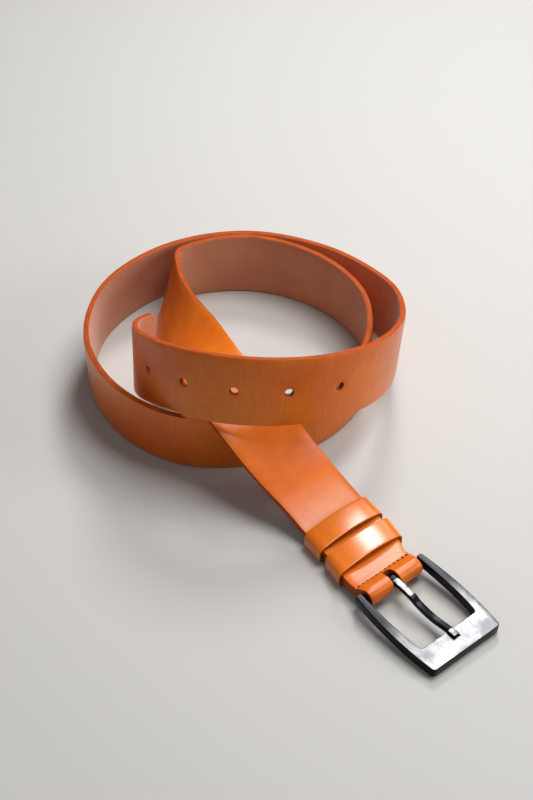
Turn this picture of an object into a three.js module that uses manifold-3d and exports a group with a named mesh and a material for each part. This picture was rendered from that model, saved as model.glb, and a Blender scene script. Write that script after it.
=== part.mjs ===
import * as THREE from 'three';
import { mergeVertices } from 'three/addons/utils/BufferGeometryUtils.js';
import Module from 'manifold-3d';

// A leather belt with a rectangular pin buckle, coiled twice on a table.
// Millimetres, +Z up. The table is at z = 0. The buckle end lies in front
// (towards -Y), the strap climbs over the lower ring, stands on edge and goes
// round clockwise twice, and the end with the holes rests on the crossing.

// Strap
const strapWidth = 38;
const strapThick = 3.2;
const tailThick = 2.4;
const foldThick = 2.6;
const holeCount = 5;
const holePitch = 27;
const holeRadius = 2.2;
const firstHoleX = 36;
const tipRadius = 5;
const slotWidth = 4.8;
const slotBehindBar = 4.4;
const slotCorner = 1.8;

// Buckle
const barRadius = 1.7;
const barHeight = 6.6;
const barAhead = 6;
const frameHigh = 5.6;
const frameTilt = 4.2;
const frameFront = 51.8;
const frameRear = -2.6;
const windowFront = 39.1;
const railInner = 18.3;
const railOuter = 21.6;
const prongWide = 3.6;
const prongHole = 2.05;
const prongEye = 3.2;

// Keepers
const keeperLong = 13.8;
const keeperInner = 19.5;
const keeperWall = 1.5;
const keeperFloor = 1.8;
const keeperShoulder = 8.5;
const keeperCrown = 2;

// Where the parts of the coil stand
const ringCentre = { x: -11, y: 9 };
const buckleBase = { x: 56.3, y: -130.1, heading: -50 };
const objectCentre = { x: 5.675, y: -43.19 };

const radians = THREE.MathUtils.degToRad;
const ahead = new THREE.Vector3(
  Math.cos(radians(buckleBase.heading)),
  Math.sin(radians(buckleBase.heading)),
  0,
);
const across = new THREE.Vector3(-ahead.y, ahead.x, 0);
const up = new THREE.Vector3(0, 0, 1);

// A point of the buckle end: distance ahead of the stitch line, and height
function atBuckle(distance, z) {
  return new THREE.Vector3(buckleBase.x, buckleBase.y, z).addScaledVector(ahead, distance);
}

// The tail lies under the strap, up to the fold round the bar.
// roll turns the width of the strap about its length: 0 lies flat with the
// grain up, 90 stands on edge with the grain outwards, 180 is face down.
const tailRows = [
  { x: 36.4, y: -96.6, z: 3.3, roll: 180, width: 35.6, thick: tailThick },
  { x: 47.6, y: -114.2, z: 3.3, roll: 180, width: 35.6, thick: tailThick },
  { x: 52.6, y: -125.5, z: 3.3, roll: 180, width: 34.8, thick: tailThick },
];

// The fold: angles about the bar, from under it to over it
const foldRows = [];
const foldRadius = barRadius + 0.4 + foldThick / 2;
for (const turn of [-90, -45, 0, 45, 90]) {
  const point = atBuckle(
    barAhead + foldRadius * Math.cos(radians(turn)),
    barHeight + foldRadius * Math.sin(radians(turn)),
  );
  foldRows.push({ x: point.x, y: point.y, z: point.z, width: 33.2, thick: foldThick, fold: true });
}

// From the stitch line through the keepers, up and over the lower ring,
// turning from flat to standing on edge
const crossingRows = [
  { x: 58.2, y: -132.3, z: 8.9, roll: 0, width: 34.6, thick: 2.8 },
  { x: 56.2, y: -129.8, z: 7.2, roll: 0, width: 35.6, thick: 3.0 },
  { x: 52.3, y: -124.9, z: 6.5, roll: 0, width: 35 },
  { x: 47.7, y: -114.2, z: 6.4, roll: 0, width: 36.2 },
  { x: 38.2, y: -99.4, z: 6.4, roll: 0, width: 37.4 },
  { x: 32.5, y: -91.0, z: 6.9, roll: 0, width: 37.8 },
  { x: 20.5, y: -78.5, z: 14, roll: 3 },
  { x: 5.5, y: -67, z: 27, roll: 9 },
  { x: -7.5, y: -55, z: 38.5, roll: 7 },
  { x: -17.5, y: -41.5, z: 42.5, roll: 4 },
  { x: -29, y: -24.5, z: 42.5, roll: 15 },
  { x: -40, y: 1.5, z: 38, roll: 35 },
  { x: -50.5, y: 32, z: 29.5, roll: 56 },
  { x: -54.7, y: 62.5, z: 22.5, roll: 71 },
  { x: -50.0, y: 84.5, z: 19.6, roll: 85 },
];

// Nearly two turns clockwise: angle about the ring centre, distance from it,
// height of the middle of the strap, and lean
const ringRows = [
  { turn: 90, radius: 86.2, z: 19.2, roll: 92 },
  { turn: 60, radius: 80.5, z: 19.2, roll: 90 },
  { turn: 30, radius: 74, z: 19.2, roll: 89 },
  { turn: 0, radius: 65, z: 19.2, roll: 89 },
  { turn: -30, radius: 58.5, z: 19.2, roll: 90 },
  { turn: -60, radius: 56, z: 19.2, roll: 90 },
  { turn: -90, radius: 59, z: 19.2, roll: 92 },
  { turn: -120, radius: 68, z: 19.2, roll: 96 },
  { turn: -150, radius: 75.5, z: 19.2, roll: 95 },
  { turn: -180, radius: 84, z: 19.2, roll: 92 },
  { turn: -210, radius: 90.5, z: 19.2, roll: 87 },
  { turn: -240, radius: 92.5, z: 19.2, roll: 84 },
  { turn: -270, radius: 90.2, z: 19.2, roll: 90 },
  { turn: -300, radius: 88, z: 19.3, roll: 92 },
  { turn: -330, radius: 87.5, z: 21, roll: 95 },
];

// The end with the holes leaves the second turn, climbs on to the crossing
// strap, and curls a little at its tip
const bandRows = [
  { x: 70, y: 12, z: 33.5, roll: 96 },
  { x: 63.1, y: -18.6, z: 45, roll: 92.5 },
  { x: 49, y: -40.2, z: 53.3, roll: 87.5 },
  { x: 29.5, y: -54.3, z: 59, roll: 83.5 },
  { x: 7.6, y: -60.7, z: 62, roll: 80.2 },
  { x: -13.5, y: -60.9, z: 63, roll: 78 },
  { x: -32.5, y: -55, z: 61.2, roll: 78.5 },
  { x: -49.2, y: -43.5, z: 56.9, roll: 83.6 },
  { x: -60.7, y: -29.8, z: 50.2, roll: 84 },
  { x: -66.1, y: -20.5, z: 46, roll: 85 },
  { x: -67.6, y: -12.8, z: 43.2, roll: 89.7 },
  { x: -65.8, y: -5.5, z: 40.3, roll: 95 },
  { x: -60.3, y: 3.8, z: 36.5, roll: 93 },
];

const pathRows = [...tailRows, ...foldRows, ...crossingRows];
for (const row of ringRows) {
  const angle = radians(row.turn);
  pathRows.push({
    x: ringCentre.x + row.radius * Math.cos(angle),
    y: ringCentre.y + row.radius * Math.sin(angle),
    z: row.z,
    roll: row.roll,
  });
}
pathRows.push(...bandRows);

const pathPoints = pathRows.map((row) => new THREE.Vector3(row.x, row.y, row.z));
const pathWidths = pathRows.map((row, index) => {
  if (row.fold) {
    return across.clone();
  }
  const before = pathPoints[Math.max(0, index - 1)];
  const after = pathPoints[Math.min(pathPoints.length - 1, index + 1)];
  const along = after.clone().sub(before).normalize();
  const side = along.clone().cross(up).normalize();
  const rise = side.clone().cross(along);
  const roll = radians(row.roll);
  return side.multiplyScalar(Math.cos(roll)).addScaledVector(rise, Math.sin(roll));
});
const pathSizes = pathRows.map((row) => new THREE.Vector3(
  (row.width ?? strapWidth) / 2,
  (row.thick ?? strapThick) / 2,
  0,
));
const strapPath = new THREE.CatmullRomCurve3(pathPoints, false, 'centripetal');
const widthPath = new THREE.CatmullRomCurve3(pathWidths, false, 'catmullrom', 0.5);
const sizePath = new THREE.CatmullRomCurve3(pathSizes, false, 'catmullrom', 0.2);

// Place, direction, width and grain side of the strap at one point of its path
function strapFrame(t) {
  const place = strapPath.getPoint(t);
  const along = strapPath.getTangent(t);
  const wide = widthPath.getPoint(t);
  wide.addScaledVector(along, -wide.dot(along)).normalize();
  const grain = wide.clone().cross(along).normalize();
  const size = sizePath.getPoint(t);
  return { place, along, wide, grain, half: size.x, halfThick: size.y };
}

// Geometry to a boolean solid and back
const wasm = await Module();
wasm.setup();

function toSolid(geometry) {
  const bare = geometry.clone();
  bare.deleteAttribute('normal');
  bare.deleteAttribute('uv');
  const merged = mergeVertices(bare, 1e-4);
  return new wasm.Manifold(new wasm.Mesh({
    numProp: 3,
    vertProperties: new Float32Array(merged.attributes.position.array),
    triVerts: new Uint32Array(merged.index.array),
  }));
}

function toGeometry(solid) {
  const mesh = solid.getMesh();
  const geometry = new THREE.BufferGeometry();
  const places = new Float32Array(mesh.vertProperties);
  geometry.setAttribute('position', new THREE.BufferAttribute(places, 3));
  geometry.setIndex(new THREE.BufferAttribute(new Uint32Array(mesh.triVerts), 1));
  return geometry;
}

// The strap: a long box bent along the path
const stepsPerRow = 5;
const stepCount = (pathRows.length - 1) * stepsPerRow;
const widthSteps = 4;

function strapBox() {
  const box = new THREE.BoxGeometry(1, 1, 1, stepCount, widthSteps, 1);
  const position = box.attributes.position;
  const lengths = [0];
  let last = strapPath.getPoint(0);
  for (let step = 1; step <= stepCount; step += 1) {
    const next = strapPath.getPoint(step / stepCount);
    lengths.push(lengths[step - 1] + next.distanceTo(last));
    last = next;
  }
  const total = lengths[stepCount];
  for (let index = 0; index < position.count; index += 1) {
    const step = Math.round((position.getX(index) + 0.5) * stepCount);
    const frame = strapFrame(step / stepCount);
    const fromTip = total - lengths[step];
    let half = frame.half;
    if (fromTip < tipRadius) {
      const rest = tipRadius - fromTip;
      half -= tipRadius - Math.sqrt(tipRadius * tipRadius - rest * rest * 0.96);
    }
    const point = frame.place.clone();
    point.addScaledVector(frame.wide, -position.getY(index) * 2 * half);
    point.addScaledVector(frame.grain, position.getZ(index) * 2 * frame.halfThick);
    position.setXYZ(index, point.x, point.y, point.z);
  }
  return box;
}

// Turns geometry made along +X, +Y, +Z to the given directions and place
function placeAlong(geometry, xAxis, yAxis, zAxis, place) {
  const matrix = new THREE.Matrix4().makeBasis(xAxis, yAxis, zAxis);
  matrix.setPosition(place);
  geometry.applyMatrix4(matrix);
  return geometry;
}

function makeStrap() {
  let solid = toSolid(strapBox());
  // Round holes through the standing front band
  let t = (pathRows.length - bandRows.length + 2) / (pathRows.length - 1);
  while (strapPath.getPoint(t).x > firstHoleX) {
    t += 0.0002;
  }
  for (let hole = 0; hole < holeCount; hole += 1) {
    const frame = strapFrame(t);
    const punch = new THREE.CylinderGeometry(holeRadius, holeRadius, 8, 16);
    placeAlong(punch, frame.along, frame.grain, frame.wide, frame.place);
    solid = solid.subtract(toSolid(punch));
    let gone = 0;
    let here = strapPath.getPoint(t);
    while (gone < holePitch) {
      t += 0.0002;
      const next = strapPath.getPoint(t);
      gone += next.distanceTo(here);
      here = next;
    }
  }
  // Long slot for the prong, through both layers of the fold
  const slot = new THREE.Shape();
  const slotBack = barAhead - slotBehindBar;
  const slotSide = slotWidth / 2;
  slot.moveTo(barAhead + 8, slotSide);
  slot.lineTo(slotBack + slotCorner, slotSide);
  slot.quadraticCurveTo(slotBack, slotSide, slotBack, slotSide - slotCorner);
  slot.lineTo(slotBack, slotCorner - slotSide);
  slot.quadraticCurveTo(slotBack, -slotSide, slotBack + slotCorner, -slotSide);
  slot.lineTo(barAhead + 8, -slotSide);
  slot.closePath();
  const cut = new THREE.ExtrudeGeometry(slot, { depth: 30, bevelEnabled: false, curveSegments: 8 });
  placeAlong(cut, ahead, across, up, atBuckle(0, -8));
  solid = solid.subtract(toSolid(cut));
  return toGeometry(solid);
}

// A keeper: a flat loop of leather with an arched top
function keeperOutline(half, low, shoulder, crown, corner) {
  const outline = new THREE.Shape();
  outline.moveTo(-half + corner, low);
  outline.lineTo(half - corner, low);
  outline.quadraticCurveTo(half, low, half, low + corner);
  outline.lineTo(half, shoulder - corner);
  outline.quadraticCurveTo(half, shoulder, half - corner * 1.4, shoulder + crown * 0.25);
  outline.quadraticCurveTo(0, shoulder + crown * 1.75, -half + corner * 1.4, shoulder + crown * 0.25);
  outline.quadraticCurveTo(-half, shoulder, -half, shoulder - corner);
  outline.lineTo(-half, low + corner);
  outline.quadraticCurveTo(-half, low, -half + corner, low);
  return outline;
}

function makeKeeper(row) {
  const outline = keeperOutline(
    keeperInner + keeperWall, 0, keeperShoulder + keeperWall, keeperCrown, 3.8);
  outline.holes.push(keeperOutline(keeperInner, keeperFloor, keeperShoulder, keeperCrown, 1));
  const loop = new THREE.ExtrudeGeometry(outline, {
    depth: keeperLong, bevelEnabled: false, curveSegments: 6,
  });
  loop.translate(0, 0, -keeperLong / 2);
  const index = pathRows.indexOf(row);
  const along = strapPath.getTangent(index / (pathRows.length - 1));
  along.z = 0;
  along.normalize();
  // The loops have slipped a little askew: square to the buckle, not to the strap
  const back = along.clone().negate();
  placeAlong(loop, across, up, back, new THREE.Vector3(row.x, row.y, 0));
  return toGeometry(toSolid(loop));
}

// The buckle is drawn with its bar at the origin, +X ahead and +Z up, and
// then turned down a little so that the front bar rests on the table
function placeBuckle(geometry) {
  geometry.rotateY(radians(frameTilt));
  return placeAlong(geometry, ahead, across, up, atBuckle(barAhead, barHeight));
}

function makeFrame() {
  const outline = new THREE.Shape();
  outline.moveTo(frameRear, railInner);
  outline.quadraticCurveTo(22, 19.8, windowFront - 1.8, 17.9);
  outline.quadraticCurveTo(windowFront, 17.6, windowFront, 16);
  outline.lineTo(windowFront, -16);
  outline.quadraticCurveTo(windowFront, -17.6, windowFront - 1.8, -17.9);
  outline.quadraticCurveTo(22, -19.8, frameRear, -railInner);
  outline.lineTo(frameRear, -railOuter);
  outline.quadraticCurveTo(24, -25, frameFront - 2, -21.8);
  outline.quadraticCurveTo(frameFront, -21.5, frameFront, -19.7);
  outline.lineTo(frameFront, 19.7);
  outline.quadraticCurveTo(frameFront, 21.5, frameFront - 2, 21.8);
  outline.quadraticCurveTo(24, 25, frameRear, railOuter);
  outline.closePath();
  const frame = new THREE.ExtrudeGeometry(outline, {
    depth: frameHigh - 1.6,
    bevelThickness: 0.8,
    bevelSize: 0.7,
    bevelOffset: -0.7,
    bevelSegments: 2,
    curveSegments: 8,
  });
  frame.translate(0, 0, -frameHigh / 2 + 0.8);
  const bar = new THREE.CylinderGeometry(barRadius, barRadius, 2 * railInner + 3, 20);
  const notch = new THREE.BoxGeometry(7.2, prongWide + 1.2, 3);
  notch.translate(41.2, 0, frameHigh / 2 + 0.1);
  return toSolid(placeBuckle(frame))
    .add(toSolid(placeBuckle(bar)))
    .subtract(toSolid(placeBuckle(notch)));
}

function makeProng() {
  const side = new THREE.Shape();
  side.moveTo(0, 1.6);
  side.lineTo(0, prongEye);
  side.quadraticCurveTo(2.5, 3.8, 6, 3.8);
  side.lineTo(13, 3.9);
  side.quadraticCurveTo(15.5, 3.9, 17.5, 2.7);
  side.quadraticCurveTo(25, 1.4, 32, 2.6);
  side.quadraticCurveTo(37, 3.6, 39.8, 4.3);
  side.lineTo(43.8, 4.5);
  side.lineTo(44.2, 2.2);
  side.lineTo(39, 1.85);
  side.quadraticCurveTo(36, 1.3, 32, 0.2);
  side.quadraticCurveTo(24, -1.3, 16, 0.6);
  side.quadraticCurveTo(13, 1.4, 10, 1.4);
  side.lineTo(5, 1.5);
  side.closePath();
  const extrude = { depth: prongWide, bevelEnabled: false, curveSegments: 6 };
  const shank = new THREE.ExtrudeGeometry(side, extrude);
  const eye = new THREE.CylinderGeometry(prongEye, prongEye, prongWide, 24);
  const hole = new THREE.CylinderGeometry(prongHole, prongHole, prongWide + 4, 24);
  shank.translate(0, 0, -prongWide / 2);
  shank.rotateX(Math.PI / 2);
  return toSolid(placeBuckle(shank))
    .add(toSolid(placeBuckle(eye)))
    .subtract(toSolid(placeBuckle(hole)));
}

const looks = {
  leather: { color: 0xc9661f, roughness: 0.42, metalness: 0 },
  keeper: { color: 0xd4732b, roughness: 0.36, metalness: 0 },
  frame: { color: 0x9b9b9d, roughness: 0.3, metalness: 1 },
  prong: { color: 0x3c3d40, roughness: 0.25, metalness: 1 },
};

function addPiece(group, name, geometry, look) {
  geometry.translate(-objectCentre.x, -objectCentre.y, 0);
  const plain = geometry.toNonIndexed();
  plain.computeVertexNormals();
  const mesh = new THREE.Mesh(plain, new THREE.MeshStandardMaterial(look));
  mesh.name = name;
  group.add(mesh);
}

const group = new THREE.Group();
group.name = 'leather_belt';
addPiece(group, 'strap', makeStrap(), looks.leather);
addPiece(group, 'keeper_near', makeKeeper(crossingRows[3]), looks.keeper);
addPiece(group, 'keeper_far', makeKeeper(crossingRows[4]), looks.keeper);
addPiece(group, 'buckle_frame', toGeometry(makeFrame()), looks.frame);
addPiece(group, 'buckle_prong', toGeometry(makeProng()), looks.prong);

export default group;
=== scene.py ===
import bisect
import math

import bpy
from mathutils import Matrix, Vector


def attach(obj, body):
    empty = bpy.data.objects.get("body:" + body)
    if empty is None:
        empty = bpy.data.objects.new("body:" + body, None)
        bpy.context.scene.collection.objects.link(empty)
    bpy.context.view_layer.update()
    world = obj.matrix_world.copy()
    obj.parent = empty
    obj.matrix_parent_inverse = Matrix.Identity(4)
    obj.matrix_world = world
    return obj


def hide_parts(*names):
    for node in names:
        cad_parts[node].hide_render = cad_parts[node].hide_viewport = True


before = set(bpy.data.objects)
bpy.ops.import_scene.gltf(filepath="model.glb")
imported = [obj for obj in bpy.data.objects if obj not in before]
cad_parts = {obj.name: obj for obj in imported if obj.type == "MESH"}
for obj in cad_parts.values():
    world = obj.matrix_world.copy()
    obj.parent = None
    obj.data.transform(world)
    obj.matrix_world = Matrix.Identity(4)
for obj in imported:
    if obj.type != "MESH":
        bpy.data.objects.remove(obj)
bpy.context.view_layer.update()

# A tan leather belt with a rectangular pin buckle, coiled twice on a table.
# The tables are in millimetres and the finished meshes in metres, +Z up.
# The buckle end lies in front, the strap climbs over the lower ring, goes
# round clockwise twice on its edge and ends in a curl on the crossing.
mm = 0.001
up = Vector((0, 0, 1))
objectCentre = Vector((5.675, -43.19, 0))  # in the tables, and the finished origin
ringCentre = Vector((-11, 9, 0))
heading = math.radians(-50)  # the way the buckle points
ahead = Vector((math.cos(heading), math.sin(heading), 0))
across = Vector((-ahead.y, ahead.x, 0))
stitchPoint = Vector((56.3, -130.1, 0))  # middle of the stitched row
sharpAngle = math.radians(50)  # edges sharper than this are bevelled
tolerance = 0.01


# Scene helpers

def activate(piece):
    bpy.ops.object.select_all(action="DESELECT")
    piece.select_set(True)
    bpy.context.view_layer.objects.active = piece


def finishedPiece(piece, name, body, cadNode, materials, smoothAngle=38):
    piece.name = name
    piece.data.name = name
    for material in materials:
        piece.data.materials.append(material)
    activate(piece)
    bpy.ops.object.shade_smooth_by_angle(angle=math.radians(smoothAngle))
    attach(piece, body)
    if cadNode:
        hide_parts(cadNode)
    return piece


# Chosen faces or edges, by a test on the mesh element, left selected in edit mode
def selectWhere(piece, kind, test):
    activate(piece)
    mesh = piece.data
    for items in (mesh.vertices, mesh.edges, mesh.polygons):
        items.foreach_set("select", [False] * len(items))
    chosen = mesh.edges if kind == "EDGE" else mesh.polygons
    for item in chosen:
        if test(item):
            item.select = True
            for index in item.vertices:
                mesh.vertices[index].select = True
    bpy.ops.object.mode_set(mode="EDIT")
    bpy.ops.mesh.select_mode(type=kind)


def objectMode():
    bpy.ops.object.mode_set(mode="OBJECT")


# A flat sheet gets its thickness, and is left in edit mode
def extrudeUp(height):
    bpy.ops.object.mode_set(mode="EDIT")
    bpy.ops.mesh.select_all(action="SELECT")
    bpy.ops.mesh.extrude_region_move(TRANSFORM_OT_translate={"value": (0, 0, height)})


def faceOutwards():
    bpy.ops.mesh.select_all(action="SELECT")
    bpy.ops.mesh.normals_make_consistent(inside=False)


def bevelSharpEdges(width, segments, clamp=True):
    bpy.ops.mesh.select_mode(type="EDGE")
    bpy.ops.mesh.select_all(action="DESELECT")
    bpy.ops.mesh.edges_select_sharp(sharpness=sharpAngle)
    bpy.ops.mesh.bevel(
        offset=width, segments=segments, profile=0.5, affect="EDGES", clamp_overlap=clamp)
    objectMode()


# The patterns of the leather read where each point lies in the flat piece
def keepFlatPlaces(mesh):
    flat = mesh.attributes.new("flat", "FLOAT_VECTOR", "POINT")
    places = [value * mm for vertex in mesh.vertices for value in vertex.co]
    flat.data.foreach_set("vector", places)


# Materials

def srgb(code):
    parts = [int(code[at:at + 2], 16) / 255 for at in (1, 3, 5)]
    linear = [p / 12.92 if p <= 0.04045 else ((p + 0.055) / 1.055) ** 2.4 for p in parts]
    return (*linear, 1)


def addNode(tree, kind, feeds, **settings):
    node = tree.nodes.new("ShaderNode" + kind)
    for name, value in settings.items():
        setattr(node, name, value)
    for name, value in feeds.items():
        if isinstance(value, bpy.types.NodeSocket):
            tree.links.new(value, node.inputs[name])
        else:
            node.inputs[name].default_value = value
    return node


def newMaterial(name):
    material = bpy.data.materials.new(name)
    material.use_nodes = True
    tree = material.node_tree
    shader = next(node for node in tree.nodes if node.type == "BSDF_PRINCIPLED")
    return material, tree, shader


# Vegetable-tanned cowhide, glazed and waxed on the grain side: an even tan with
# soft highlights. The pattern is laid out in the flat strap, so it follows the
# leather round every bend. Sizes are in millimetres. Real pores are under 0.2,
# and are drawn coarser so that they show.
grainLook = {
    "light": "#E67A1A",
    "middle": "#D4600C",
    "dark": "#A84206",
    "broadSize": 60,
    "mottleSize": 9,
    "streakSize": 1.1,
    "poreSize": 0.45,
    # Needle holes: painted shade, near black
    "stitchHoleShade": "#0A0401",
    "holeRelief": 6.0,
}


def leatherGrain(name, look, gloss, coat, stitchAt=None):
    material, tree, shader = newMaterial(name)
    flat = addNode(tree, "Attribute", {}, attribute_name="flat").outputs["Vector"]
    broad = addNode(tree, "TexNoise", {
        "Vector": flat, "Scale": 1 / (look["broadSize"] * mm), "Detail": 3.0,
    })
    mottle = addNode(tree, "TexNoise", {
        "Vector": flat, "Scale": 1 / (look["mottleSize"] * mm), "Detail": 6.0, "Roughness": 0.6,
    })
    # Fine creases of the hide, drawn out across the strap
    drawn = addNode(tree, "Mapping", {"Vector": flat, "Scale": (1, 0.12, 1)}).outputs["Vector"]
    streaks = addNode(tree, "TexNoise", {
        "Vector": drawn, "Scale": 1 / (look["streakSize"] * mm), "Detail": 5.0, "Roughness": 0.65,
    })
    pores = addNode(tree, "TexVoronoi", {
        "Vector": flat, "Scale": 1 / (look["poreSize"] * mm),
    }, feature="SMOOTH_F1")
    broadPart = addNode(tree, "MapRange", {
        "Value": broad.outputs["Fac"], "From Min": 0.36, "From Max": 0.64,
    }).outputs["Result"]
    mottlePart = addNode(tree, "MapRange", {
        "Value": mottle.outputs["Fac"], "From Min": 0.4, "From Max": 0.75, "To Max": 0.18,
    }).outputs["Result"]
    streakPart = addNode(tree, "MapRange", {
        "Value": streaks.outputs["Fac"], "From Min": 0.38, "From Max": 0.72, "To Max": 0.26,
    }).outputs["Result"]
    tone = addNode(tree, "MixRGB", {
        "Fac": broadPart, "Color1": srgb(look["middle"]), "Color2": srgb(look["light"]),
    }).outputs["Color"]
    tone = addNode(tree, "MixRGB", {
        "Fac": mottlePart, "Color1": tone, "Color2": srgb(look["dark"]),
    }).outputs["Color"]
    tone = addNode(tree, "MixRGB", {
        "Fac": streakPart, "Color1": tone, "Color2": srgb(look["dark"]),
    }).outputs["Color"]
    height = addNode(tree, "Math", {
        0: pores.outputs["Distance"], 1: streaks.outputs["Fac"],
    }, operation="ADD").outputs["Value"]
    if stitchAt:
        # Needle holes in a row across the strap, painted near black: painted shade in the holes,
        # which the bump also sinks
        parts = addNode(tree, "SeparateXYZ", {"Vector": flat})
        acrossStrap = parts.outputs["Y"]
        down = addNode(tree, "Math", {
            0: parts.outputs["X"], 1: stitchAt["along"] * mm,
        }, operation="SUBTRACT").outputs["Value"]
        slant = addNode(tree, "Math", {
            0: acrossStrap, 1: foldSkew(stitchAt["along"]),
        }, operation="MULTIPLY").outputs["Value"]
        down = addNode(tree, "Math", {0: down, 1: slant}, operation="SUBTRACT").outputs["Value"]
        place = addNode(tree, "Math", {
            0: acrossStrap, 1: stitchAt["pitch"] * mm,
        }, operation="DIVIDE").outputs["Value"]
        nearest = addNode(tree, "Math", {0: place}, operation="FRACT").outputs["Value"]
        offset = addNode(tree, "Math", {
            0: nearest, 1: 0.5,
        }, operation="SUBTRACT").outputs["Value"]
        sideways = addNode(tree, "Math", {
            0: offset, 1: stitchAt["pitch"] * mm,
        }, operation="MULTIPLY").outputs["Value"]
        spot = addNode(tree, "CombineXYZ", {"X": down, "Y": sideways}).outputs["Vector"]
        away = addNode(tree, "VectorMath", {0: spot}, operation="LENGTH").outputs["Value"]
        holeShadeMask = addNode(tree, "MapRange", {
            "Value": away, "To Min": 1.0, "To Max": 0.0,
            "From Min": stitchAt["needle"][0] * mm, "From Max": stitchAt["needle"][1] * mm,
        }).outputs["Result"]
        side = addNode(tree, "Math", {
            0: acrossStrap,
        }, operation="ABSOLUTE").outputs["Value"]
        inRow = addNode(tree, "Math", {
            0: side, 1: stitchAt["reach"] * mm,
        }, operation="LESS_THAN").outputs["Value"]
        hole = addNode(tree, "Math", {
            0: holeShadeMask, 1: inRow,
        }, operation="MULTIPLY").outputs["Value"]
        tone = addNode(tree, "MixRGB", {
            "Fac": hole, "Color1": tone, "Color2": srgb(look["stitchHoleShade"]),
        }).outputs["Color"]
        deeper = addNode(tree, "Math", {
            0: hole, 1: look["holeRelief"],
        }, operation="MULTIPLY").outputs["Value"]
        height = addNode(tree, "Math", {
            0: height, 1: deeper,
        }, operation="SUBTRACT").outputs["Value"]
    bump = addNode(tree, "Bump", {"Height": height, "Strength": 0.25, "Distance": 0.05 * mm})
    rough = addNode(tree, "MapRange", {
        "Value": streaks.outputs["Fac"], "To Min": gloss - 0.05, "To Max": gloss + 0.06,
    })
    tree.links.new(tone, shader.inputs["Base Color"])
    tree.links.new(rough.outputs["Result"], shader.inputs["Roughness"])
    tree.links.new(bump.outputs["Normal"], shader.inputs["Normal"])
    shader.inputs["Specular IOR Level"].default_value = 0.25
    shader.inputs["Coat Weight"].default_value = coat
    shader.inputs["Coat Roughness"].default_value = gloss * 0.8
    return material


# Flesh side of the hide, sanded: a short matt nap, paler and browner. Real
# fibres are under 0.1 mm, and are drawn coarser so that they show.
fleshLook = {"pale": "#D48C64", "deep": "#B4704E", "fibreSize": 0.7, "patchSize": 18}


def leatherFlesh(name, look):
    material, tree, shader = newMaterial(name)
    flat = addNode(tree, "Attribute", {}, attribute_name="flat").outputs["Vector"]
    stretched = addNode(tree, "Mapping", {"Vector": flat, "Scale": (0.35, 1, 1)}).outputs["Vector"]
    fibre = addNode(tree, "TexNoise", {
        "Vector": stretched, "Scale": 1 / (look["fibreSize"] * mm),
        "Detail": 5.0, "Roughness": 0.7,
    })
    patch = addNode(tree, "TexNoise", {
        "Vector": flat, "Scale": 1 / (look["patchSize"] * mm), "Detail": 3.0,
    })
    tone = addNode(tree, "MixRGB", {
        "Fac": patch.outputs["Fac"], "Color1": srgb(look["deep"]), "Color2": srgb(look["pale"]),
    }).outputs["Color"]
    shade = addNode(tree, "MapRange", {
        "Value": fibre.outputs["Fac"],
        "From Min": 0.3, "From Max": 0.7, "To Min": 0.72, "To Max": 1.1,
    }).outputs["Result"]
    tone = addNode(tree, "MixRGB", {
        "Fac": 0.5, "Color1": tone, "Color2": shade,
    }, blend_type="MULTIPLY").outputs["Color"]
    bump = addNode(tree, "Bump", {
        "Height": fibre.outputs["Fac"], "Strength": 0.5, "Distance": 0.12 * mm,
    })
    tree.links.new(tone, shader.inputs["Base Color"])
    tree.links.new(bump.outputs["Normal"], shader.inputs["Normal"])
    shader.inputs["Roughness"].default_value = 0.8
    shader.inputs["Sheen Weight"].default_value = 0.2
    return material


# Cut edge of the leather: dense, nearly matt, with darker streaks along it. The
# outer edges are dyed and burnished, and the walls of the openings are left cut.
burnishedLook = {"pale": "#B85016", "deep": "#923A0C", "streakSize": 1.6, "roughness": 0.65}
cutLook = {"pale": "#9A4A1C", "deep": "#6A2E10", "streakSize": 1.6, "roughness": 0.6}


def leatherEdge(name, look):
    material, tree, shader = newMaterial(name)
    flat = addNode(tree, "Attribute", {}, attribute_name="flat").outputs["Vector"]
    layers = addNode(tree, "Mapping", {"Vector": flat, "Scale": (0.2, 1, 2.5)}).outputs["Vector"]
    streak = addNode(tree, "TexNoise", {
        "Vector": layers, "Scale": 1 / (look["streakSize"] * mm),
        "Detail": 4.0, "Roughness": 0.6,
    })
    part = addNode(tree, "MapRange", {
        "Value": streak.outputs["Fac"], "From Min": 0.35, "From Max": 0.65,
    }).outputs["Result"]
    tone = addNode(tree, "MixRGB", {
        "Fac": part, "Color1": srgb(look["deep"]), "Color2": srgb(look["pale"]),
    }).outputs["Color"]
    bump = addNode(tree, "Bump", {
        "Height": streak.outputs["Fac"], "Strength": 0.3, "Distance": 0.08 * mm,
    })
    tree.links.new(tone, shader.inputs["Base Color"])
    tree.links.new(bump.outputs["Normal"], shader.inputs["Normal"])
    shader.inputs["Roughness"].default_value = look["roughness"]
    shader.inputs["Specular IOR Level"].default_value = 0.15
    return material
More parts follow.
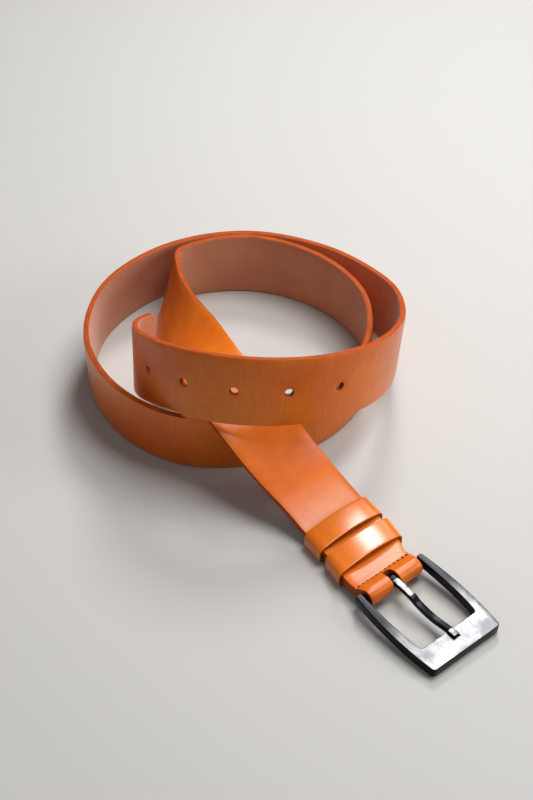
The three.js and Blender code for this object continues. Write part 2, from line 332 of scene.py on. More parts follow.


# Nickel-plated steel. Brushing runs along the buckle and gives it a streaked
# shine. Where a look gives a rear colour, the colour is painted darker towards
# the bar, a painted reflection of darker surroundings on the frame's top. Real
# brush lines are finer than 0.1 mm, and are drawn coarser so that they show.
def metal(name, look):
    material, tree, shader = newMaterial(name)
    place = addNode(tree, "TexCoord", {}).outputs["Object"]
    turned = addNode(tree, "Mapping", {
        "Vector": place, "Rotation": (0, 0, -heading),
    }).outputs["Vector"]
    drawn = addNode(tree, "Mapping", {
        "Vector": turned, "Scale": (look["drawn"], 1, 1),
    }).outputs["Vector"]
    lines = addNode(tree, "TexNoise", {
        "Vector": drawn, "Scale": 1 / (look["lineSize"] * mm), "Detail": 4.0,
    })
    smudge = addNode(tree, "TexNoise", {
        "Vector": turned, "Scale": 1 / (look["smudgeSize"] * mm), "Detail": 3.0,
    })
    part = addNode(tree, "Math", {
        0: lines.outputs["Fac"], 1: smudge.outputs["Fac"],
    }, operation="MULTIPLY").outputs["Value"]
    part = addNode(tree, "MapRange", {
        "Value": part, "From Min": 0.2, "From Max": 0.31,
    }).outputs["Result"]
    tone = addNode(tree, "MixRGB", {
        "Fac": part, "Color1": srgb(look["deep"]), "Color2": srgb(look["pale"]),
    }).outputs["Color"]
    # Painted reflection: the frame's top turns darker towards the bar
    if "rear" in look:
        reach = addNode(tree, "SeparateXYZ", {"Vector": turned}).outputs["X"]
        start = (stitchPoint - objectCentre).dot(ahead) + bar["ahead"]
        darkReflectionFade = addNode(tree, "MapRange", {
            "Value": reach,
            "From Min": (start + look["from"]) * mm, "From Max": (start + look["to"]) * mm,
        }, interpolation_type="SMOOTHSTEP").outputs["Result"]
        tone = addNode(tree, "MixRGB", {
            "Fac": darkReflectionFade, "Color1": srgb(look["rear"]), "Color2": tone,
        }).outputs["Color"]
    rough = addNode(tree, "MapRange", {
        "Value": lines.outputs["Fac"],
        "To Min": look["roughness"] * 0.8, "To Max": look["roughness"] * 1.25,
    }).outputs["Result"]
    bump = addNode(tree, "Bump", {
        "Height": lines.outputs["Fac"], "Strength": look["relief"], "Distance": 0.01 * mm,
    })
    tree.links.new(tone, shader.inputs["Base Color"])
    tree.links.new(rough, shader.inputs["Roughness"])
    tree.links.new(bump.outputs["Normal"], shader.inputs["Normal"])
    shader.inputs["Metallic"].default_value = 1
    return material


# The path of the strap

# roll turns the width of the strap about its length: 0 lies flat with the
# grain up, 90 stands on edge with the grain outwards, 180 is face down
strapSize = {"width": 38, "thick": 3.2, "tipRadius": 5, "tipBlunt": 0.96}
tailSize = {"width": 35.6, "thick": 2.4}
foldSize = {"width": 33.2, "thick": 2.6}
bar = {
    "ahead": 6, "height": 6.6, "radius": 1.7, "roomInFold": 0.4,
    "intoRails": 2.4, "edgeRound": 0.3, "sides": 32,
}
widthTension = 0.5
sizeTension = 0.2

tailRows = [
    {"x": 36.4, "y": -96.6, "z": 3.3, "roll": 180, **tailSize},
    {"x": 47.6, "y": -114.2, "z": 3.3, "roll": 180, **tailSize},
    {"x": 52.6, "y": -125.5, "z": 3.3, "roll": 180, **tailSize, "width": 34.8},
]

crossingRows = [
    {"x": 58.2, "y": -132.3, "z": 8.9, "roll": 0, "width": 34.6, "thick": 2.8},
    {"x": 56.2, "y": -129.8, "z": 7.2, "roll": 0, "width": 35.6, "thick": 3.0},
    {"x": 52.3, "y": -124.9, "z": 6.5, "roll": 0, "width": 35},
    {"x": 47.7, "y": -114.2, "z": 6.4, "roll": 0, "width": 36.2},
    {"x": 38.2, "y": -99.4, "z": 6.4, "roll": 0, "width": 37.4},
    {"x": 32.5, "y": -91.0, "z": 6.9, "roll": 0, "width": 37.8},
    {"x": 20.5, "y": -78.5, "z": 14, "roll": 3},
    {"x": 5.5, "y": -67, "z": 27, "roll": 9},
    {"x": -7.5, "y": -55, "z": 38.5, "roll": 7},
    {"x": -17.5, "y": -41.5, "z": 42.5, "roll": 4},
    {"x": -29, "y": -24.5, "z": 42.5, "roll": 15},
    {"x": -40, "y": 1.5, "z": 38, "roll": 35},
    {"x": -50.5, "y": 32, "z": 29.5, "roll": 56},
    {"x": -54.7, "y": 62.5, "z": 22.5, "roll": 71},
    {"x": -50.0, "y": 84.5, "z": 19.6, "roll": 85},
]

ringRows = [
    {"turn": 90, "radius": 86.2, "z": 19.2, "roll": 92},
    {"turn": 60, "radius": 80.5, "z": 19.2, "roll": 90},
    {"turn": 30, "radius": 74, "z": 19.2, "roll": 89},
    {"turn": 0, "radius": 65, "z": 19.2, "roll": 89},
    {"turn": -30, "radius": 58.5, "z": 19.2, "roll": 90},
    {"turn": -60, "radius": 56, "z": 19.2, "roll": 90},
    {"turn": -90, "radius": 59, "z": 19.2, "roll": 92},
    {"turn": -120, "radius": 68, "z": 19.2, "roll": 96},
    {"turn": -150, "radius": 75.5, "z": 19.2, "roll": 95},
    {"turn": -180, "radius": 84, "z": 19.2, "roll": 92},
    {"turn": -210, "radius": 90.5, "z": 19.2, "roll": 87},
    {"turn": -240, "radius": 92.5, "z": 19.2, "roll": 84},
    {"turn": -270, "radius": 90.2, "z": 19.2, "roll": 90},
    {"turn": -300, "radius": 88, "z": 19.3, "roll": 92},
    {"turn": -330, "radius": 87.5, "z": 21, "roll": 95},
]

# The end with the holes climbs on to the crossing strap and curls at its tip
bandRows = [
    {"x": 70, "y": 12, "z": 33.5, "roll": 96},
    {"x": 63.1, "y": -18.6, "z": 45, "roll": 92.5},
    {"x": 49, "y": -40.2, "z": 53.3, "roll": 87.5},
    {"x": 29.5, "y": -54.3, "z": 59, "roll": 83.5},
    {"x": 7.6, "y": -60.7, "z": 62, "roll": 80.2},
    {"x": -13.5, "y": -60.9, "z": 63, "roll": 78},
    {"x": -32.5, "y": -55, "z": 61.2, "roll": 78.5},
    {"x": -49.2, "y": -43.5, "z": 56.9, "roll": 83.6},
    {"x": -60.7, "y": -29.8, "z": 50.2, "roll": 84},
    {"x": -66.1, "y": -20.5, "z": 46, "roll": 85},
    {"x": -67.6, "y": -12.8, "z": 43.2, "roll": 89.7},
    {"x": -65.8, "y": -5.5, "z": 40.3, "roll": 95},
    {"x": -60.3, "y": 3.8, "z": 36.5, "roll": 93},
]


def atBuckle(distance, z):
    return stitchPoint + ahead * distance + up * z


def foldRow(turn):
    radius = bar["radius"] + bar["roomInFold"] + foldSize["thick"] / 2
    angle = math.radians(turn)
    point = atBuckle(
        bar["ahead"] + radius * math.cos(angle), bar["height"] + radius * math.sin(angle))
    return {"x": point.x, "y": point.y, "z": point.z, "wide": across, **foldSize}


def ringRow(row):
    angle = math.radians(row["turn"])
    return {
        "x": ringCentre.x + row["radius"] * math.cos(angle),
        "y": ringCentre.y + row["radius"] * math.sin(angle),
        "z": row["z"],
        "roll": row["roll"],
    }


foldRows = [foldRow(turn) for turn in (-90, -45, 0, 45, 90)]
pathRows = tailRows + foldRows + crossingRows + [ringRow(row) for row in ringRows] + bandRows
pathPoints = [Vector((row["x"], row["y"], row["z"])) for row in pathRows]
pathSizes = [
    Vector((row.get("width", strapSize["width"]) / 2, row.get("thick", strapSize["thick"]) / 2, 0))
    for row in pathRows
]
rowCount = len(pathRows)


def rowWidth(index):
    row = pathRows[index]
    if "wide" in row:
        return row["wide"]
    before = pathPoints[max(0, index - 1)]
    after = pathPoints[min(rowCount - 1, index + 1)]
    along = (after - before).normalized()
    side = along.cross(up).normalized()
    rise = side.cross(along)
    roll = math.radians(row["roll"])
    return side * math.cos(roll) + rise * math.sin(roll)


pathWidths = [rowWidth(index) for index in range(rowCount)]


nudge = 1e-4  # shortest step along the path


# A smooth curve through points: evenly weighted by a tension, or by distance
def curveAt(points, t, tension=None):
    place = (len(points) - 1) * t
    index = min(int(place), len(points) - 2)
    part = place - index
    one, two = points[index], points[index + 1]
    zero = points[index - 1] if index > 0 else 2 * one - two
    three = points[index + 2] if index + 2 < len(points) else 2 * two - one
    if tension is None:
        first = max((one - zero).length, nudge) ** 0.5
        middle = max((two - one).length, nudge) ** 0.5
        last = max((three - two).length, nudge) ** 0.5
        inner = (two - one) / middle
        start = ((one - zero) / first - (two - zero) / (first + middle) + inner) * middle
        end = (inner - (three - one) / (middle + last) + (three - two) / last) * middle
    else:
        start = (two - zero) * tension
        end = (three - one) * tension
    bow = (two - one) * 3 - start * 2 - end
    twist = (one - two) * 2 + start + end
    return one + start * part + bow * part ** 2 + twist * part ** 3


# Length along the strap against the path parameter
lengthTable = [0.0]
finePerRow = 40
fineCount = (rowCount - 1) * finePerRow
finePoints = [curveAt(pathPoints, step / fineCount) for step in range(fineCount + 1)]
for step in range(fineCount):
    lengthTable.append(lengthTable[-1] + (finePoints[step + 1] - finePoints[step]).length)
strapLength = lengthTable[-1]


def parameterAt(length):
    index = min(max(bisect.bisect_right(lengthTable, length) - 1, 0), fineCount - 1)
    span = lengthTable[index + 1] - lengthTable[index]
    return min(1, max(0, (index + (length - lengthTable[index]) / span) / fineCount))


def lengthWhere(firstRow, test):
    for step in range(firstRow * finePerRow, fineCount + 1):
        if test(finePoints[step]):
            return lengthTable[step]
    return strapLength


knownFrames = {}


# Place on the strap's middle line, and its three directions there
def strapFrame(length):
    key = round(length, 3)
    if key not in knownFrames:
        t = parameterAt(length)
        place = curveAt(pathPoints, t)
        after = curveAt(pathPoints, min(1, t + nudge))
        before = curveAt(pathPoints, max(0, t - nudge))
        along = (after - before).normalized()
        wide = curveAt(pathWidths, t, widthTension)
        wide = (wide - along * wide.dot(along)).normalized()
        grain = wide.cross(along).normalized()
        knownFrames[key] = (place, along, wide, grain)
    return knownFrames[key]


# Half the width and half the thickness, with round corners at the tip
def halfSizes(length):
    size = curveAt(pathSizes, parameterAt(length), sizeTension)
    half = size.x
    radius = strapSize["tipRadius"]
    rest = radius - (strapLength - length)
    if rest > 0:
        half -= radius - math.sqrt(radius * radius - rest * rest * strapSize["tipBlunt"])
    return half, size.y


# From the flat strap (length, width, height above its middle) to the coiled one
def bent(flat):
    place, _, wide, grain = strapFrame(flat.x)
    return (place - wide * flat.y + grain * flat.z - objectCentre) * mm


def buckleReach(point):
    return (point - stitchPoint).dot(ahead)


foldMiddleRow = len(tailRows) + 2
slot = {"half": 2.4, "corner": 1.8, "backOfBar": 4.4}
slotFrom = lengthWhere(0, lambda p: buckleReach(p) > bar["ahead"] - slot["backOfBar"])
slotTo = lengthWhere(foldMiddleRow, lambda p: buckleReach(p) < bar["ahead"] - slot["backOfBar"])
stitches = {
    "count": 12, "pitch": 2.87, "thread": 0.7, "needle": (0.6, 0.75), "margin": 0.75,
    "bow": 0.55, "flatness": 0.42, "liftAbove": 0.15, "liftUnder": 0.05,
    "groove": 0.2, "grooveWidth": 1.1, "grooveReach": 5,
}
stitches["along"] = lengthWhere(foldMiddleRow, lambda p: buckleReach(p) < 0)
stitches["under"] = lengthWhere(0, lambda p: buckleReach(p) > 0)
stitches["reach"] = stitches["count"] * stitches["pitch"] / 2


# How far along the strap the line of the fold runs for each mm across it
def foldSkew(length):
    _, along, wide, _ = strapFrame(length)
    return wide.dot(ahead) / along.dot(ahead)


holes = {
    "count": 5, "pitch": 27, "radius": 2.2, "firstX": 36,
    "dish": 0.75, "dishWidth": 2.9, "dishReach": 9,
}
holes["first"] = lengthWhere(rowCount - len(bandRows) + 2, lambda p: p.x < holes["firstX"])
holes["places"] = [holes["first"] + index * holes["pitch"] for index in range(holes["count"])]
print("path of the strap:", round(strapLength, 1), "mm")


# The strap, modelled flat and then bent along the path

strapMesh = {
    "centreStep": 0.75,
    "centreColumns": 8,
    "outerColumns": (7.5, 9.5, 12, 14.5, 16.4, 17.8, 19),
    "longStep": 1.7,
    "fineStep": 0.6,
    "stepsRoundHole": 6,
    "fineBeforeSlot": 6,
    "fineAfterSlot": 8,
    "fineTip": 6,
    "openingMargin": 1.2,
    "openingBand": 5,
    "edgeRound": 0.6,
    "edgeDrop": 0.3,
    "edgeDropWidth": 1.5,
    "faceUp": 0.8,
}


def strapStations():
    stations = {0.0, strapLength}
    around = strapMesh["stepsRoundHole"]
    for place in holes["places"]:
        stations.update(
            place + strapMesh["centreStep"] * step for step in range(-around, around + 1))
    fineSpans = (
        (slotFrom - strapMesh["fineBeforeSlot"], slotTo + strapMesh["fineAfterSlot"]),
        (strapLength - strapMesh["fineTip"], strapLength),
    )
    for low, high in fineSpans:
        count = int((high - low) / strapMesh["fineStep"])
        stations.update(low + (high - low) * step / count for step in range(count + 1))
    known = sorted(stations)
    filled = []
    for low, high in zip(known, known[1:]):
        count = max(1, math.ceil((high - low) / strapMesh["longStep"]))
        filled += [low + (high - low) * step / count for step in range(count)]
    return filled + [strapLength]


def strapColumns():
    count = strapMesh["centreColumns"]
    centre = [index * strapMesh["centreStep"] for index in range(-count, count + 1)]
    outer = strapMesh["outerColumns"]
    return [-value for value in reversed(outer)] + centre + list(outer)


# Columns near the middle keep their distance, and the others follow the width
def columnAt(column, half):
    core = strapMesh["centreStep"] * strapMesh["centreColumns"]
    if abs(column) <= core:
        return column
    fullHalf = strapSize["width"] / 2
    reach = core + (abs(column) - core) * (half - core) / (fullHalf - core)
    return math.copysign(reach, column)


# Distance outside a rectangle with round corners, and the way out of it
def outsideOf(point, opening):
    dx = point.x - opening["centre"]
    corner = opening["corner"]
    over = Vector((
        abs(dx) - opening["halfLong"] + corner, abs(point.y) - opening["halfWide"] + corner))
    clear = Vector((max(over.x, 0), max(over.y, 0)))
    distance = clear.length + min(max(over.x, over.y), 0) - corner
    if over.x > 0 and over.y > 0:
        way = clear.normalized()
    else:
        way = Vector((1, 0)) if over.x > over.y else Vector((0, 1))
    return distance, Vector((math.copysign(way.x, dx), math.copysign(way.y, point.y)))


strapOpenings = [{
    "centre": (slotFrom + slotTo) / 2,
    "halfLong": (slotTo - slotFrom) / 2,
    "halfWide": slot["half"],
    "corner": slot["corner"],
}]
holeShape = dict.fromkeys(("halfLong", "halfWide", "corner"), holes["radius"])
strapOpenings += [{"centre": place, **holeShape} for place in holes["places"]]


def nearOpening(point, opening):
    reach = opening["halfLong"] + strapMesh["openingMargin"]
    return abs(point.x - opening["centre"]) < reach and abs(point.y) < strapMesh["openingBand"]


# Deletes the faces in the openings and moves what borders them to the outline
def cutOpenings(piece):
    mesh = piece.data

    def inOpening(face):
        centre = face.center.to_2d()
        return any(
            nearOpening(centre, opening) and outsideOf(centre, opening)[0] < 0
            for opening in strapOpenings
        )

    selectWhere(piece, "FACE", inOpening)
    bpy.ops.mesh.delete(type="FACE")
    objectMode()
    used = {}
    for face in mesh.polygons:
        for key in face.edge_keys:
            used[key] = used.get(key, 0) + 1
    rim = {index for key, count in used.items() if count == 1 for index in key}
    for index in rim:
        point = mesh.vertices[index].co
        for opening in strapOpenings:
            if nearOpening(point, opening):
                distance, way = outsideOf(point, opening)
                point.x -= way.x * distance
                point.y -= way.y * distance


# Dished holes, a groove for the stitches and soft edges on the grain side
def grainRelief(length, side):
    fromEdge = halfSizes(length)[0] - abs(side)
    relief = -strapMesh["edgeDrop"] * math.exp(-(fromEdge / strapMesh["edgeDropWidth"]) ** 2)
    for place in holes["places"]:
        away = math.hypot(length - place, side)
        if away < holes["dishReach"]:
            relief -= holes["dish"] * math.exp(-(away / holes["dishWidth"]) ** 2)
    fromStitch = length - stitches["along"] - foldSkew(stitches["along"]) * side
    if abs(fromStitch) < stitches["grooveReach"]:
        relief -= stitches["groove"] * math.exp(-(fromStitch / stitches["grooveWidth"]) ** 2)
    return relief


def makeStrap():
    stations = strapStations()
    columns = strapColumns()
    bpy.ops.object.select_all(action="DESELECT")
    bpy.ops.mesh.primitive_grid_add(
        x_subdivisions=len(stations) - 1, y_subdivisions=len(columns) - 1, size=2)
    piece = bpy.context.object
    mesh = piece.data
    for vertex in mesh.vertices:
        length = stations[round((vertex.co.x + 1) / 2 * (len(stations) - 1))]
        column = columns[round((vertex.co.y + 1) / 2 * (len(columns) - 1))]
        vertex.co = (length, columnAt(column, halfSizes(length)[0]), 0)
    cutOpenings(piece)
    extrudeUp(1)
    objectMode()
    for vertex in mesh.vertices:
        thick = halfSizes(vertex.co.x)[1]
        vertex.co.z = thick if vertex.co.z > 0.5 else -thick
    bpy.ops.object.mode_set(mode="EDIT")
    faceOutwards()
    bevelSharpEdges(strapMesh["edgeRound"], 3)
    # Sides of the leather: grain, flesh, cut edge, walls of the openings, which
    # all lie along the middle and clear of both ends
    for face in mesh.polygons:
        if face.normal.z > strapMesh["faceUp"]:
            face.material_index = 0
        elif face.normal.z < -strapMesh["faceUp"]:
            face.material_index = 1
        elif abs(face.center.y) < 4 and 2 < face.center.x < strapLength - 3:
            face.material_index = 3
        else:
            face.material_index = 2
    keepFlatPlaces(mesh)
    for vertex in mesh.vertices:
        length, side, height = vertex.co
        if height > 0:
            thick = halfSizes(length)[1]
            height += grainRelief(length, side) * height / thick
        vertex.co = bent(Vector((length, side, height)))
    mesh.update()
    return piece


# The keepers are a little paler than the strap, and polished more
keeperLook = {**grainLook, "middle": "#DC7012"}
strapGrain = leatherGrain("tan_leather_grain", grainLook, gloss=0.34, coat=0.25, stitchAt=stitches)
keeperGrain = leatherGrain("tan_leather_keeper", keeperLook, gloss=0.26, coat=0.6)
fleshSide = leatherFlesh("brown_leather_flesh", fleshLook)
burnishedEdge = leatherEdge("burnished_leather_edge", burnishedLook)
holeWall = leatherEdge("cut_leather_in_holes", cutLook)
strap = finishedPiece(
    makeStrap(), "strap_leather", "belt", "strap",
    [strapGrain, fleshSide, burnishedEdge, holeWall])
print("strap:", len(strap.data.polygons), "faces")


# Outlines drawn with straight and curved strokes

def drawOutline(start, strokes, samples):
    points = [Vector(start)]
    for stroke in strokes:
        last = points[-1]
        end = Vector(stroke[-2:])
        if len(stroke) == 2:
            points.append(end)
            continue
        bend = Vector(stroke[:2])
        for step in range(1, samples + 1):
            part = step / samples
            points.append(last * (1 - part) ** 2 + bend * 2 * part * (1 - part) + end * part ** 2)
    return points


# A flat plate with the given outline, from z = low to z = high
def makePlate(outline, low, high):
    bpy.ops.object.select_all(action="DESELECT")
    bpy.ops.mesh.primitive_circle_add(vertices=len(outline), radius=1, fill_type="NGON")
    piece = bpy.context.object
    mesh = piece.data
    for vertex, point in zip(mesh.vertices, outline):
        vertex.co = (point.x, point.y, low)
    extrudeUp(high - low)
    faceOutwards()
    objectMode()
    return piece


def edgeHeights(piece, edge):
    return [piece.data.vertices[index].co.z for index in edge.vertices]


def roundEdges(piece, test, width, segments):
    selectWhere(piece, "EDGE", test)
    bpy.ops.mesh.bevel(
        offset=width, segments=segments, profile=0.5, affect="EDGES", clamp_overlap=True)
    objectMode()


# The edges round the two flat faces of a plate
def roundRims(piece, width):
    def isLevel(edge):
        heights = edgeHeights(piece, edge)
        return abs(heights[0] - heights[1]) < tolerance

    roundEdges(piece, isLevel, width, 3)


# operation is DIFFERENCE or UNION
def combine(piece, other, operation):
    modifier = piece.modifiers.new("combine", "BOOLEAN")
    modifier.operation = operation
    modifier.solver = "EXACT"
    modifier.object = other
    activate(piece)
    bpy.ops.object.modifier_apply(modifier=modifier.name)
    bpy.data.objects.remove(other)


# Keepers: a band of leather bent round the strap, arched on top, its ends
# meeting underneath

keeper = {
    "long": 13.8, "inner": 19.5, "wall": 1.5, "floor": 1.8, "seam": 0.06,
    "shoulder": 8.5, "crown": 2, "outerCorner": 3.8, "innerCorner": 1,
    "curveSteps": 14, "columns": 10, "edgeRound": 0.45, "faceUp": 0.75,
}


def keeperOutline(half, low, shoulder, crown, corner):
    top = shoulder + crown * 0.25
    inset = half - corner * 1.4
    strokes = [
        (half / 3, low), (half * 2 / 3, low), (half - corner, low),
        (half, low, half, low + corner), (half, (low + shoulder) / 2),
        (half, shoulder - corner), (half, shoulder, inset, top),
        (0, shoulder + crown * 1.75, -inset, top), (-half, shoulder, -half, shoulder - corner),
        (-half, (low + shoulder) / 2), (-half, low + corner), (-half, low, -half + corner, low),
        (-half * 2 / 3, low), (-half / 3, low), (-keeper["seam"], low),
    ]
    return drawOutline((keeper["seam"], low), strokes, keeper["curveSteps"])


def listAt(points, lengths, length):
    index = min(max(bisect.bisect_right(lengths, length) - 1, 0), len(points) - 2)
    part = (length - lengths[index]) / (lengths[index + 1] - lengths[index])
    return points[index].lerp(points[index + 1], min(1, max(0, part)))


def makeKeeper():
    wall, half, shoulder = keeper["wall"], keeper["inner"], keeper["shoulder"]
    crown = keeper["crown"]
    outer = keeperOutline(half + wall, 0, shoulder + wall, crown, keeper["outerCorner"])
    inner = keeperOutline(half, keeper["floor"], shoulder, crown, keeper["innerCorner"])
    lengths = [0.0]
    for one, two in zip(outer, outer[1:]):
        lengths.append(lengths[-1] + (two - one).length)
    bpy.ops.object.select_all(action="DESELECT")
    bpy.ops.mesh.primitive_grid_add(
        x_subdivisions=len(outer) - 1, y_subdivisions=keeper["columns"], size=2)
    piece = bpy.context.object
    mesh = piece.data
    for vertex in mesh.vertices:
        index = round((vertex.co.x + 1) / 2 * (len(outer) - 1))
        vertex.co = (lengths[index], vertex.co.y * keeper["long"] / 2, 0)
    extrudeUp(wall)
    faceOutwards()
    bevelSharpEdges(keeper["edgeRound"], 4)
    keepFlatPlaces(mesh)
    for face in mesh.polygons:
        if abs(face.normal.z) > keeper["faceUp"]:
            face.material_index = 0 if face.normal.z > 0 else 1
        else:
            face.material_index = 2
    # y runs along the strap, x across it
    for vertex in mesh.vertices:
        length, along, depth = vertex.co
        point = listAt(inner, lengths, length).lerp(listAt(outer, lengths, length), depth / wall)
        vertex.co = (point.x, along, point.y)
    return piece


def placeKeeper(piece, row):
    along = strapFrame(lengthTable[pathRows.index(row) * finePerRow])[1]
    along = Vector((along.x, along.y, 0)).normalized()
    # The loops sit a little askew: across in line with the bar, lengthwise with
    # the strap
    turn = Matrix((-across, along, up)).transposed().to_4x4()
    point = Vector((row["x"], row["y"], 0)) - objectCentre
    piece.data.transform(Matrix.Translation(point * mm) @ turn @ Matrix.Scale(mm, 4))
    activate(piece)
    bpy.ops.object.mode_set(mode="EDIT")
    faceOutwards()
    objectMode()


keeperNear = makeKeeper()
keeperFar = keeperNear.copy()
keeperFar.data = keeperNear.data.copy()
bpy.context.collection.objects.link(keeperFar)
placeKeeper(keeperNear, crossingRows[3])
placeKeeper(keeperFar, crossingRows[4])
keeperLooks = [keeperGrain, fleshSide, burnishedEdge]
finishedPiece(keeperNear, "keeper_near_leather", "belt", "keeper_near", keeperLooks)
finishedPiece(keeperFar, "keeper_far_leather", "belt", "keeper_far", keeperLooks)
print("keepers done")


# Stitches: one bead of waxed thread, copied between the needle holes

# Twisted and waxed linen: a dull shine over slanted plies, which are drawn a
# little coarser than real ones so that they show
threadLook = {"pale": "#E8924A", "deep": "#C4641E", "plySize": 0.5, "plySlant": 50}


def waxedThread(name, look):
    material, tree, shader = newMaterial(name)
    flat = addNode(tree, "Attribute", {}, attribute_name="flat").outputs["Vector"]
    slanted = addNode(tree, "Mapping", {
        "Vector": flat, "Rotation": (0, 0, math.radians(look["plySlant"])), "Scale": (1, 4, 1),
    }).outputs["Vector"]
    ply = addNode(tree, "TexNoise", {
        "Vector": slanted, "Scale": 1 / (look["plySize"] * mm), "Detail": 3.0,
    })
    tone = addNode(tree, "MixRGB", {
        "Fac": ply.outputs["Fac"], "Color1": srgb(look["deep"]), "Color2": srgb(look["pale"]),
    }).outputs["Color"]
    bump = addNode(tree, "Bump", {
        "Height": ply.outputs["Fac"], "Strength": 0.6, "Distance": 0.08 * mm,
    })
    tree.links.new(tone, shader.inputs["Base Color"])
    tree.links.new(bump.outputs["Normal"], shader.inputs["Normal"])
    shader.inputs["Roughness"].default_value = 0.5
    return material


def makeStitches():
    bpy.ops.object.select_all(action="DESELECT")
    bpy.ops.mesh.primitive_uv_sphere_add(segments=12, ring_count=10, radius=1)
    bead = bpy.context.object
    half = stitches["pitch"] / 2 - stitches["margin"]
    thread = stitches["thread"]
    for vertex in bead.data.vertices:
        wide, high, long = vertex.co
        bow = -stitches["bow"] * long * long
        # Turned over in x, because swapping y and z alone would turn it inside out
        vertex.co = (-wide * thread / 2, long * half, high * thread * stitches["flatness"] + bow)
    copies = []
    rows = (
        (stitches["along"], stitches["liftAbove"] - stitches["groove"]),
        (stitches["under"], stitches["liftUnder"]),
    )
    for length, lift in rows:
        thick = halfSizes(length)[1]
        skew = foldSkew(length)
        for index in range(stitches["count"] - 1):
            middle = (index - (stitches["count"] - 2) / 2) * stitches["pitch"]
            copy = bead.copy()
            copy.data = bead.data.copy()
            bpy.context.collection.objects.link(copy)
            for vertex in copy.data.vertices:
                slant = skew * (middle + vertex.co.y)
                vertex.co += Vector((length + slant, middle, thick + lift))
            keepFlatPlaces(copy.data)
            for vertex in copy.data.vertices:
                vertex.co = bent(vertex.co)
            copies.append(copy)
    bpy.data.objects.remove(bead)
    bpy.ops.object.select_all(action="DESELECT")
    for copy in copies:
        copy.select_set(True)
    bpy.context.view_layer.objects.active = copies[0]
    bpy.ops.object.join()
    return bpy.context.object


thread = waxedThread("waxed_linen_thread", threadLook)
finishedPiece(
    makeStitches(), "stitching", "belt", None, [thread], smoothAngle=60)
print("stitches done")


# Buckle: drawn with its bar at the origin, +X ahead and +Z up, then turned
# down a little so that its front bar rests on the table

buckle = {
    "rear": -2.6, "front": 51.8, "window": 39.1, "high": 5.6, "tilt": 4.2,
    "railInner": 18.3, "railOuter": 21.6, "topEdge": 0.45, "underEdge": 1.3,
    "seatSize": (7.2, 4.8, 3), "seatAhead": 41.2, "curveSteps": 12, "faceUp": 0.8,
}


def buckleMatrix():
    turn = Matrix((ahead, across, up)).transposed().to_4x4()
    point = atBuckle(bar["ahead"], bar["height"]) - objectCentre
    tilt = Matrix.Rotation(math.radians(buckle["tilt"]), 4, "Y")
    return Matrix.Translation(point * mm) @ turn @ tilt @ Matrix.Scale(mm, 4)


def makeBox(size, place):
    bpy.ops.object.select_all(action="DESELECT")
    bpy.ops.mesh.primitive_cube_add(size=1)
    box = bpy.context.object
    for vertex in box.data.vertices:
        vertex.co = Vector(place) + Vector([vertex.co[axis] * size[axis] for axis in range(3)])
    return box


def makeFrame():
    front, rear, window = buckle["front"], buckle["rear"], buckle["window"]
    inner, outer = buckle["railInner"], buckle["railOuter"]
    strokes = [
        (22, 19.8, window - 1.8, 17.9), (window, 17.6, window, 16), (window, -16),
        (window, -17.6, window - 1.8, -17.9), (22, -19.8, rear + 0.8, -inner),
        (rear, -inner, rear, -inner - 0.8), (rear, -outer + 1.2),
        (rear, -outer, rear + 1.2, -outer),
        (24, -25, front - 2, -21.8), (front, -21.5, front, -19.7), (front, 19.7),
        (front, 21.5, front - 2, 21.8), (24, 25, rear + 1.2, outer),
        (rear, outer, rear, outer - 1.2), (rear, inner + 0.8), (rear, inner, rear + 0.8, inner),
    ]
    outline = drawOutline((rear + 0.8, inner), strokes, buckle["curveSteps"])[:-1]
    half = buckle["high"] / 2
    piece = makePlate(outline, -half, half)
    roundEdges(
        piece, lambda e: min(edgeHeights(piece, e)) > half - tolerance, buckle["topEdge"], 3)
    roundEdges(
        piece, lambda e: max(edgeHeights(piece, e)) < tolerance - half, buckle["underEdge"], 4)
    # Shallow seat for the point of the prong
    combine(piece, makeBox(buckle["seatSize"], (buckle["seatAhead"], 0, half + 0.1)), "DIFFERENCE")
    piece.data.update()
    # Faces that point up get the brushed top, the rest the near-black metal: a painted dark
    # reflection on the sides
    for face in piece.data.polygons:
        face.material_index = 0 if face.normal.z > buckle["faceUp"] else 1
    piece.data.transform(buckleMatrix())
    return piece


def makeBar():
    bpy.ops.object.select_all(action="DESELECT")
    bpy.ops.mesh.primitive_cylinder_add(
        vertices=bar["sides"], radius=bar["radius"],
        depth=2 * buckle["railInner"] + bar["intoRails"], rotation=(math.radians(90), 0, 0))
    piece = bpy.context.object
    bpy.ops.object.transform_apply(location=False, rotation=True, scale=False)
    activate(piece)
    bpy.ops.object.mode_set(mode="EDIT")
    bevelSharpEdges(bar["edgeRound"], 2, clamp=False)
    piece.data.transform(buckleMatrix())
    return piece


prong = {
    "wide": 3.6, "eye": 3.2, "hole": 2.05, "curveSteps": 10, "sides": 48,
    "edgeRound": 0.4, "eyeRound": 0.35, "highlightSpans": ((2, 14), (39.9, 45)), "faceUp": 0.85,
}


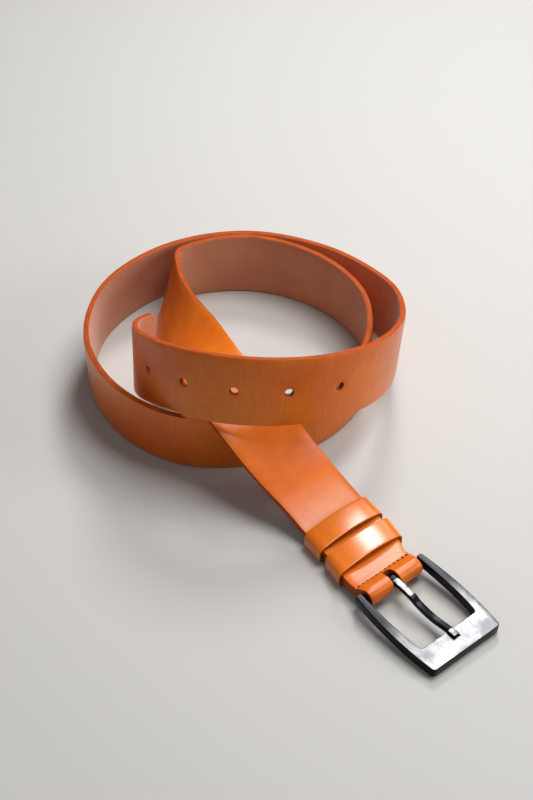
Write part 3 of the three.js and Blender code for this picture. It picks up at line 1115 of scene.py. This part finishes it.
def makeProng():
    eye = prong["eye"]
    strokes = [
        (0, eye), (2.5, 3.8, 6, 3.8), (13, 3.9), (15.5, 3.9, 17.5, 2.7), (25, 1.4, 32, 2.6),
        (37, 3.6, 39.8, 4.3), (43.4, 4.5), (44.2, 4.5, 44.2, 3.6), (44.2, 2.2), (39, 1.85),
        (36, 1.3, 32, 0.2), (24, -1.3, 16, 0.6), (13, 1.4, 10, 1.4), (5, 1.5),
    ]
    outline = drawOutline((0, 1.6), strokes, prong["curveSteps"])
    half = prong["wide"] / 2
    piece = makePlate(outline, -half, half)
    roundRims(piece, prong["edgeRound"])
    # Ring that turns on the bar
    bpy.ops.object.select_all(action="DESELECT")
    bpy.ops.mesh.primitive_cylinder_add(
        vertices=prong["sides"], radius=eye, depth=prong["wide"])
    ring = bpy.context.object
    roundRims(ring, prong["eyeRound"])
    combine(piece, ring, "UNION")
    bpy.ops.object.select_all(action="DESELECT")
    bpy.ops.mesh.primitive_cylinder_add(
        vertices=prong["sides"], radius=prong["hole"], depth=prong["wide"] + 4)
    combine(piece, bpy.context.object, "DIFFERENCE")
    # Drawn in the side view: stand it up
    piece.data.transform(Matrix.Rotation(math.radians(90), 4, "X"))
    piece.data.update()
    # Painted highlight: upward faces on the prong's flat stretches get the bright metal; the rest
    # gets the near-black metal, a painted dark reflection
    for face in piece.data.polygons:
        inHighlight = any(low < face.center.x < high for low, high in prong["highlightSpans"])
        face.material_index = 0 if inHighlight and face.normal.z > prong["faceUp"] else 1
    piece.data.transform(buckleMatrix())
    return piece


# Brushed on the frame's top, which is painted darker towards the bar, a painted
# reflection. The sides, the bar and the prong are polished and painted near black, a painted dark
# reflection, and the prong's flats are painted bright, a painted highlight
brushed = {
    "pale": "#8E8E90", "deep": "#656567", "rear": "#333335", "from": 16, "to": 38,
    "drawn": 0.05, "lineSize": 0.25, "smudgeSize": 11, "roughness": 0.38, "relief": 0.2,
}
darkReflectionLook = {
    "pale": "#1C1C1F", "deep": "#101012",
    "drawn": 1, "lineSize": 6, "smudgeSize": 9, "roughness": 0.28, "relief": 0.05,
}
highlightLook = {
    "pale": "#8E8E90", "deep": "#5C5C5E",
    "drawn": 0.3, "lineSize": 0.5, "smudgeSize": 3, "roughness": 0.32, "relief": 0.1,
}
satin = metal("brushed_nickel_plate", brushed)
dark = metal("nickel_painted_dark_reflection", darkReflectionLook)
highlightMetal = metal("nickel_painted_highlight", highlightLook)
finishedPiece(
    makeFrame(), "frame_plated", "frame", "buckle_frame", [satin, dark])
finishedPiece(makeBar(), "bar_plated", "frame", None, [dark])
finishedPiece(
    makeProng(), "prong_plated", "prong", "buckle_prong", [highlightMetal, dark])
print("buckle done")


# Camera, floor and light

view = {"lens": 76.5, "sensor": 36, "place": (-0.005675, -0.62966, 0.62744), "tilt": 47}
board = {"size": 6, "level": -0.0003, "colour": "#BCBAB6", "roughness": 0.75}
studio = {"colour": "#E6E8EC", "strength": 0.14, "aim": (0, 0, 0.02)}

camera = bpy.data.cameras.new("camera")
camera.lens = view["lens"]
camera.sensor_width = view["sensor"]
camera.clip_start = 0.01
cameraObject = bpy.data.objects.new("camera", camera)
cameraObject.location = view["place"]
cameraObject.rotation_euler = (math.radians(view["tilt"]), 0, 0)
bpy.context.collection.objects.link(cameraObject)
bpy.context.scene.camera = cameraObject

bpy.ops.object.select_all(action="DESELECT")
bpy.ops.mesh.primitive_plane_add(size=board["size"], location=(0, 0, board["level"]))
floor = bpy.context.object
floor.name = "floor"
# Painted board: even and matt
floorLook, _, floorShader = newMaterial("matt_pale_board")
floorShader.inputs["Base Color"].default_value = srgb(board["colour"])
floorShader.inputs["Roughness"].default_value = board["roughness"]
floor.data.materials.append(floorLook)

lights = [
    {"name": "key", "place": (0.3, 0.2, 1), "size": 0.6, "power": 9},
    {"name": "window", "place": (0.15, 0.65, 0.69), "size": 0.26, "power": 4.5},
    {"name": "side", "place": (0.9, -0.1, 0.45), "size": 0.5, "power": 3.5},
    {"name": "fill", "place": (-0.8, -0.4, 0.8), "size": 1.2, "power": 0.6},
    {"name": "front", "place": (-0.1, -0.9, 0.8), "size": 0.9, "power": 1},
]
for light in lights:
    lamp = bpy.data.lights.new(light["name"], "AREA")
    lamp.shape = "DISK"
    lamp.size = light["size"]
    lamp.energy = light["power"]
    lampObject = bpy.data.objects.new(light["name"], lamp)
    lampObject.location = light["place"]
    toCentre = Vector(studio["aim"]) - Vector(light["place"])
    lampObject.rotation_euler = toCentre.to_track_quat("-Z", "Y").to_euler()
    bpy.context.collection.objects.link(lampObject)

world = bpy.data.worlds.new("studio")
world.use_nodes = True
background = next(node for node in world.node_tree.nodes if node.type == "BACKGROUND")
background.inputs["Color"].default_value = srgb(studio["colour"])
background.inputs["Strength"].default_value = studio["strength"]
bpy.context.scene.world = world
bpy.context.scene.view_settings.view_transform = "Standard"
print("camera, floor and light done")
